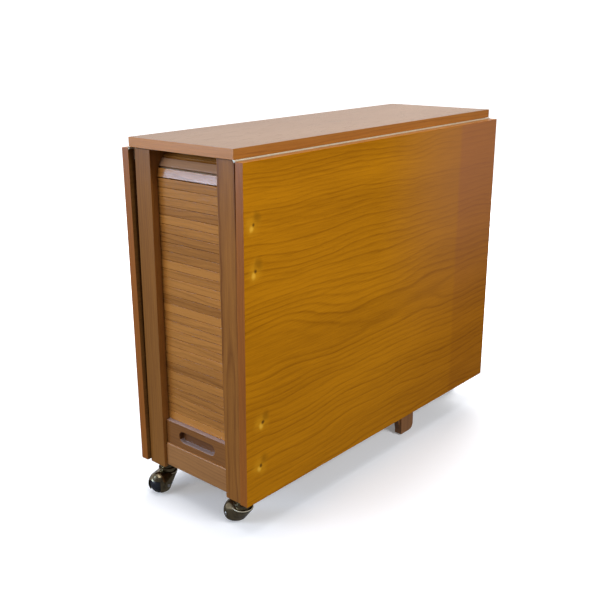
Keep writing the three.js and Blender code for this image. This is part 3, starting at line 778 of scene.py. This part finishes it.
BUTT_PLATE = 0.0012
BUTT_GAP = 0.0012                 # from the barrel's middle to the edge of each plate
BUTT_BARREL = 0.0026
BUTT_KNUCKLES = 5
gate_wood = wood("teak_gate", "Z", "X", (0.27, 0.120, 0.042), (0.15, 0.060, 0.020), ring=0.006,
                 heart=(0.02, 0.10), seed=3.7, contrast=0.4)
gate_rail_wood = wood("teak_gate_rail", "X", "Z", (0.27, 0.120, 0.042), (0.15, 0.060, 0.020), ring=0.006,
                      heart=(0.4, 0.10), seed=5.7, contrast=0.4)
for side, sign in (("near", -1), ("far", 1)):
    for part in ("batten", "stile", "leg", "lower_rail", "upper_rail"):
        node = f"gate_{part}_{side}"
        grain = gate_rail_wood if part.endswith("rail") else gate_wood
        piece(f"{node}_wood", from_cad(node), "carcase", grain, (node,), ease=0.0009)
    for level_name in ("lower", "upper"):
        node = f"gate_hinge_{level_name}_{side}"
        low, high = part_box(node)
        middle = (low.z + high.z) / 2
        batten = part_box(f"gate_batten_{side}")
        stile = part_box(f"gate_stile_{side}")
        gap_x = (batten[1].x + stile[0].x) / 2 if sign < 0 else (batten[0].x + stile[1].x) / 2
        back_y = low.y if sign > 0 else high.y
        front_y = back_y + sign * BUTT_PLATE
        plates = []
        for start, stop in ((low.x, gap_x - BUTT_GAP), (gap_x + BUTT_GAP, high.x)):
            plates.append(board((start, min(back_y, front_y), low.z), (stop, max(back_y, front_y), high.z)))
        step = (high.z - low.z) / BUTT_KNUCKLES
        for i in range(BUTT_KNUCKLES):
            barrel = bmesh.new()
            bmesh.ops.create_cone(barrel, cap_ends=True, segments=20, radius1=BUTT_BARREL,
                                  radius2=BUTT_BARREL, depth=step - 0.0003)
            centre = (gap_x, back_y + sign * 0.0014, low.z + (i + 0.5) * step)
            bmesh.ops.translate(barrel, verts=barrel.verts, vec=centre)
            plates.append(barrel)
        heads = []
        for x in ((low.x + gap_x) / 2 - 0.002, (high.x + gap_x) / 2 + 0.002):
            for i in (-1, 0, 1):
                place = (x, front_y + sign * 0.0001, middle + i * 0.017)
                heads.append(screw_head(SCREW_HEAD, place, (0, sign, 0), 0.9 * i + x))
        piece(f"{node}_plates", gather(plates), "carcase", brass, (node,))
        piece(f"{node}_screws", gather(heads), "carcase", brass)


# --- Ball casters ----------------------------------------------------------------------
# Four swivelling ball casters: a bronzed pressed hood with a beaded shoulder and a neck, a hard
# black ball on a riveted axle, and a steel stem held in a pressed socket under the wood.

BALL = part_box("caster_ball_front_near")[1].z / 2
HOOD = 0.0246
SHELL = 0.0016
HOOD_FOOT = 0.008
MOUTH_TOP = 0.033
MOUTH_HALF = math.radians(45)
RIM = 0.020
RIM_LOW, RIM_HIGH = 0.036, 0.040
NECK = 0.0165
NECK_TOP = BALL + HOOD
RACE = 0.0185
DRUM = 0.015
BORE = 0.0044
BEAD = 0.0011
RIVET = 0.0036
AXLE_BORE = 0.0035
bronze = metal("caster_bronze", (0.34, 0.28, 0.17), (0.11, 0.088, 0.058), 0.22, worn=0.8)
ball_black = bpy.data.materials.new("caster_ball")
ball_black.use_nodes = True
gloss_mix = Mix(ball_black.node_tree)
scuffs = gloss_mix.noise(gloss_mix.add("TexCoord", out=3), 160.0, 5.0)
ball_colour = gloss_mix.blend(scuffs, (0.010, 0.012, 0.018, 1), (0.028, 0.030, 0.040, 1))
ball_skin = gloss_mix.add("BsdfPrincipled", Base_Color=ball_colour)
gloss_mix.fill(ball_skin.node.inputs["Roughness"], gloss_mix.sum("MULTIPLY_ADD", scuffs, 0.25, 0.08))
gloss_mix.finish("Material", ball_skin)


def ball_shape(radius, trail, segments=48):
    shape = bmesh.new()
    bmesh.ops.create_uvsphere(shape, u_segments=segments, v_segments=segments // 2, radius=radius)
    bmesh.ops.translate(shape, verts=shape.verts, vec=(trail, 0, BALL))
    return shape


def hood_shape(trail):
    """Ball cover and shoulder wrapped in one skin, hollowed, with the mouth and the foot cut away."""
    skin = ball_shape(HOOD, trail, 56)
    for i in range(56):
        angle = math.tau * i / 56
        for radius, z in ((RIM, RIM_LOW), (RIM, RIM_HIGH - 0.0008), (RIM - 0.0008, RIM_HIGH)):
            skin.verts.new((radius * math.cos(angle), radius * math.sin(angle), z))
    wrapped = bmesh.ops.convex_hull(skin, input=skin.verts)
    inner = {item for item in wrapped["geom_interior"] if isinstance(item, bmesh.types.BMVert)}
    bmesh.ops.delete(skin, geom=list(inner), context="VERTS")
    skin = carved(skin, ball_shape(HOOD - SHELL, trail))
    reach = 0.045
    wide = reach * math.tan(MOUTH_HALF)
    mouth = prism([(trail, 0), (trail + reach, -wide), (trail + reach, wide)], "Z", -0.02, MOUTH_TOP)
    skin = carved(skin, mouth)
    return carved(skin, board((-0.06, -0.06, -0.02), (0.09, 0.06, HOOD_FOOT)))


def lathe(profile, segments=32):
    """A profile of radius and height turned about Z, closed on itself."""
    shape = bmesh.new()
    rings = []
    for radius, z in profile:
        angles = [math.tau * i / segments for i in range(segments)]
        rings.append([shape.verts.new((radius * math.cos(a), radius * math.sin(a), z)) for a in angles])
    for k in range(len(rings)):
        one, two = rings[k], rings[(k + 1) % len(rings)]
        for i in range(segments):
            j = (i + 1) % segments
            shape.faces.new((one[i], one[j], two[j], two[i]))
    bmesh.ops.recalc_face_normals(shape, faces=shape.faces)
    return shape


for swivel in frame["joints"]:
    if not swivel["name"].startswith("swivel_"):
        continue
    corner = swivel["name"].removeprefix("swivel_")
    roll = next(j for j in frame["joints"] if j["name"] == f"roll_{corner}")
    pivot = Vector((swivel["pos_m"][0], swivel["pos_m"][1], 0))
    wheel = Vector((roll["pos_m"][0], roll["pos_m"][1], 0)) - pivot
    where = Matrix.Translation(pivot) @ Matrix.Rotation(math.atan2(wheel.y, wheel.x), 4, "Z")
    trail = wheel.length
    low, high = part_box(f"caster_socket_{corner}")
    bead = [math.tau * i / 12 for i in range(12)]
    bead_profile = [(RIM + BEAD * math.cos(a), RIM_HIGH - 0.0012 + BEAD * math.sin(a)) for a in bead]
    neck_profile = [(BORE, RIM_HIGH - 0.002), (NECK, RIM_HIGH - 0.002), (NECK, NECK_TOP - 0.0005),
                    (NECK - 0.0005, NECK_TOP), (BORE, NECK_TOP)]
    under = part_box("post_front_near")[0].z - 0.0003
    socket_profile = [(BORE, low.z), (RACE - 0.0005, low.z), (RACE, low.z + 0.0005),
                      (RACE, low.z + 0.0030), (RACE - 0.0005, low.z + 0.0035), (DRUM, low.z + 0.0035),
                      (DRUM, under), (BORE + 0.0011, under), (BORE + 0.0011, high.z), (BORE, high.z)]
    rivets = []
    for sign in (-1, 1):
        dome = bmesh.new()
        bmesh.ops.create_uvsphere(dome, u_segments=20, v_segments=10, radius=RIVET)
        bmesh.ops.scale(dome, verts=dome.verts, vec=(1, 0.4, 1))
        bmesh.ops.translate(dome, verts=dome.verts, vec=(trail, sign * (HOOD - 0.0002), BALL))
        rivets.append(dome)
    end = math.sqrt(BALL ** 2 - AXLE_BORE ** 2)
    bulge = [math.atan2(end, AXLE_BORE) * (1 - 2 * i / 32) for i in range(1, 32)]
    round_face = [(BALL * math.cos(a), BALL * math.sin(a)) for a in bulge]
    ball_profile = [(AXLE_BORE, end), *round_face, (AXLE_BORE, -end)]
    ball = lathe(ball_profile, 48)
    tip = Matrix.Translation((trail, 0, BALL)) @ Matrix.Rotation(math.pi / 2, 4, "X")
    bmesh.ops.transform(ball, verts=ball.verts, matrix=tip)
    bead_ring = carved(lathe(bead_profile, 48), ball_shape(HOOD - SHELL, trail))
    neck_ring = carved(lathe(neck_profile, 48), ball_shape(HOOD - SHELL, trail))
    parts = [
        (f"caster_hood_shell_{corner}", hood_shape(trail), f"caster_{corner}", "caster_bronze", bronze,
         (f"caster_hood_{corner}",)),
        (f"caster_rim_bead_{corner}", bead_ring, f"caster_{corner}", "caster_bronze", brass, ()),
        (f"caster_neck_{corner}", neck_ring, f"caster_{corner}", "caster_bronze", bronze, ()),
        (f"caster_rivets_{corner}", gather(rivets), f"caster_{corner}", "steel", wire_steel, ()),
        (f"caster_socket_cup_{corner}", lathe(socket_profile, 48), "carcase", "steel", bronze,
         (f"caster_socket_{corner}",)),
        (f"ball_wheel_{corner}", ball, f"ball_{corner}", "caster_ball", ball_black,
         (f"caster_ball_{corner}",)),
    ]
    for name, shape, body, slot, finish, stands_for in parts:
        bmesh.ops.transform(shape, verts=shape.verts, matrix=where)
        piece(name, shape, body, finish, stands_for)
    for node in (f"caster_stem_{corner}", f"caster_axle_{corner}"):
        frame["nodes"][node].data.materials.clear()
        frame["nodes"][node].data.materials.append(wire_steel)
